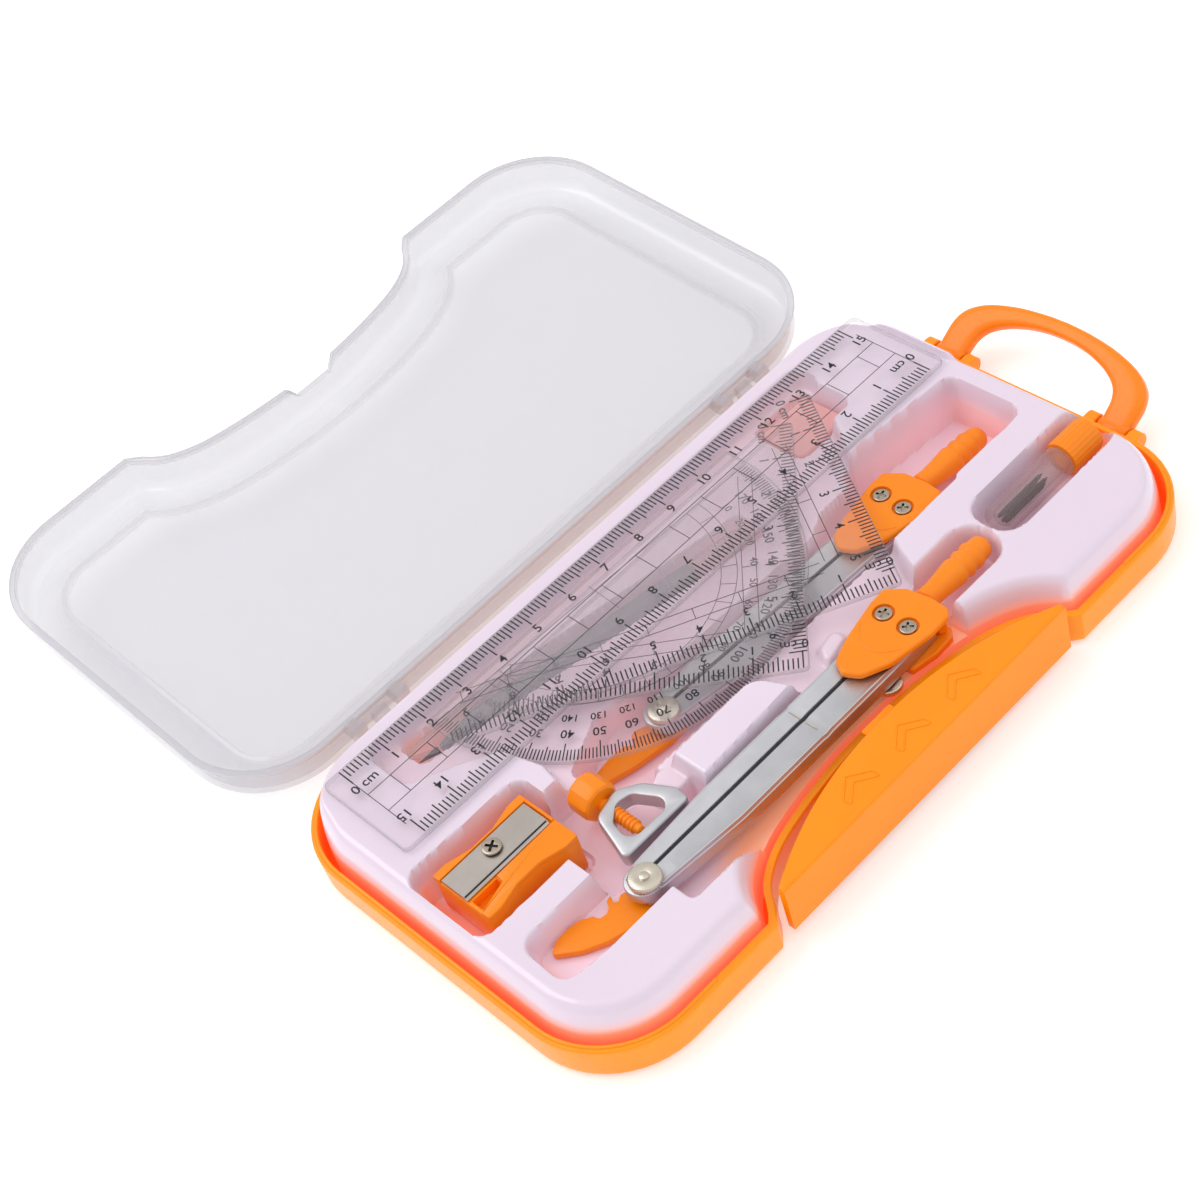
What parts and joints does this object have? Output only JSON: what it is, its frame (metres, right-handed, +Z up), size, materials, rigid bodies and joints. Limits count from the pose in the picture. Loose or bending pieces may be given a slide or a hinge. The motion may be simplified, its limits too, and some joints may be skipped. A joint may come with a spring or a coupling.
{
  "type": "drafting instrument case",
  "caption": "Flat hinged case with a clear lid, moulded tray and carry handle, open, holding compasses, ruler, set squares, protractor, sharpener and leads.",
  "frame": {"origin": "on the table under the middle of the case's base", "axes": "+X along the case towards the carry handle, +Y from the latch to the lid hinge, +Z up"},
  "size_m": [0.1974, 0.206, 0.0182],
  "materials": {
    "orange": "moulded orange, slightly translucent",
    "orange_part": "moulded orange",
    "tray": "thin vacuum-formed lilac-white",
    "clear": "clear moulded sheet",
    "nickel": "nickel-plated, turned",
    "cast": "satin die-cast, fine vertical grain",
    "blade": "ground steel",
    "graphite": "graphite lead",
    "barrel": "dark grey moulded barrel",
    "rubber": "soft pink"
  },
  "bodies": {
    "case": {"base_shell": "orange", "inner_tray": "tray"},
    "lid": {"lid": "clear"},
    "latch": {"press_latch": "orange"},
    "handle": {"handle": "orange_part"},
    "compass_1": {"head_cover_1": "orange_part", "head_back_1": "orange_part", "screw_11": "nickel", "screw_12": "nickel", "leg_left_1": "cast", "leg_right_1": "cast", "grip_1": "orange_part", "point_guard_1": "orange_part", "pivot_nut_1": "nickel", "pencil_ring_1": "cast"},
    "thumb_1": {"thumb_screw_1": "nickel"},
    "clamp_1": {"clamp_screw_1": "orange_part"},
    "compass_2": {"head_cover_2": "orange_part", "head_back_2": "orange_part", "screw_21": "nickel", "screw_22": "nickel", "leg_left_2": "cast", "leg_right_2": "cast", "grip_2": "orange_part", "point_guard_2": "orange_part", "pivot_nut_2": "nickel"},
    "thumb_2": {"thumb_screw_2": "nickel"},
    "pencil": {"pencil": "barrel", "pencil_lead": "graphite", "pencil_cap": "clear"},
    "eraser": {"eraser": "rubber"},
    "protractor": {"protractor": "clear"},
    "square_45": {"set_square_45": "clear"},
    "square_60": {"set_square_60": "clear"},
    "ruler": {"ruler": "clear"},
    "sharpener": {"sharpener_body": "orange_part", "sharpener_blade": "blade", "sharpener_screw": "nickel"},
    "tube": {"lead_tube": "clear", "spare_leads": "graphite"},
    "tube_cap": {"tube_cap": "orange_part"}
  },
  "joints": [
    {"name": "lid_hinge", "type": "hinge", "parent": "case", "child": "lid", "pos_m": [0, 0.0528, 0.0095], "axis": [-1, 0, 0], "range_deg": [-175.4, 0]},
    {"name": "latch_pivot", "type": "hinge", "parent": "case", "child": "latch", "pos_m": [0, -0.0426, 0.0042], "axis": [1, 0, 0], "range_deg": [-5, 3], "stiffness_Nm_per_rad": 0.02},
    {"name": "handle_pivot", "type": "hinge", "parent": "case", "child": "handle", "pos_m": [0.0917, 0, 0.005], "axis": [0, -1, 0], "range_deg": [-34, 52]},
    {"name": "compass_1_lift", "type": "slide", "parent": "case", "child": "compass_1", "axis": [0, 0, 1], "range_m": [0, 0.04]},
    {"name": "thumb_1_turn", "type": "hinge", "parent": "compass_1", "child": "thumb_1", "pos_m": [-0.0548, -0.0272, 0.0145], "axis": [0, 0, 1], "continuous": true},
    {"name": "clamp_1_turn", "type": "hinge", "parent": "compass_1", "child": "clamp_1", "pos_m": [-0.0464, -0.0057, 0.0129], "axis": [0, 1, 0], "continuous": true},
    {"name": "sharpener_lift", "type": "slide", "parent": "case", "child": "sharpener", "axis": [0, 0, 1], "range_m": [0, 0.04]},
    {"name": "tube_lift", "type": "slide", "parent": "case", "child": "tube", "axis": [0, 0, 1], "range_m": [0, 0.04]},
    {"name": "cap_turn", "type": "hinge", "parent": "tube", "child": "tube_cap", "pos_m": [0.079, -0.023, 0.0122], "axis": [1, 0, 0], "continuous": true},
    {"name": "compass_2_lift", "type": "slide", "parent": "case", "child": "compass_2", "axis": [0, 0, 1], "range_m": [0, 0.03]},
    {"name": "thumb_2_turn", "type": "hinge", "parent": "compass_2", "child": "thumb_2", "pos_m": [-0.02149, 0.00206, 0.009], "axis": [0, 0, 1], "continuous": true},
    {"name": "pencil_lift", "type": "slide", "parent": "compass_2", "child": "pencil", "axis": [0, 0, 1], "range_m": [0, 0.02]},
    {"name": "eraser_lift", "type": "slide", "parent": "pencil", "child": "eraser", "axis": [0, 0, 1], "range_m": [0, 0.02]},
    {"name": "protractor_lift", "type": "slide", "parent": "eraser", "child": "protractor", "axis": [0, 0, 1], "range_m": [0, 0.02]},
    {"name": "square_45_lift", "type": "slide", "parent": "protractor", "child": "square_45", "axis": [0, 0, 1], "range_m": [0, 0.02]},
    {"name": "square_60_lift", "type": "slide", "parent": "square_45", "child": "square_60", "axis": [0, 0, 1], "range_m": [0, 0.02]},
    {"name": "ruler_lift", "type": "slide", "parent": "square_60", "child": "ruler", "axis": [0, 0, 1], "range_m": [0, 0.03]}
  ]
}
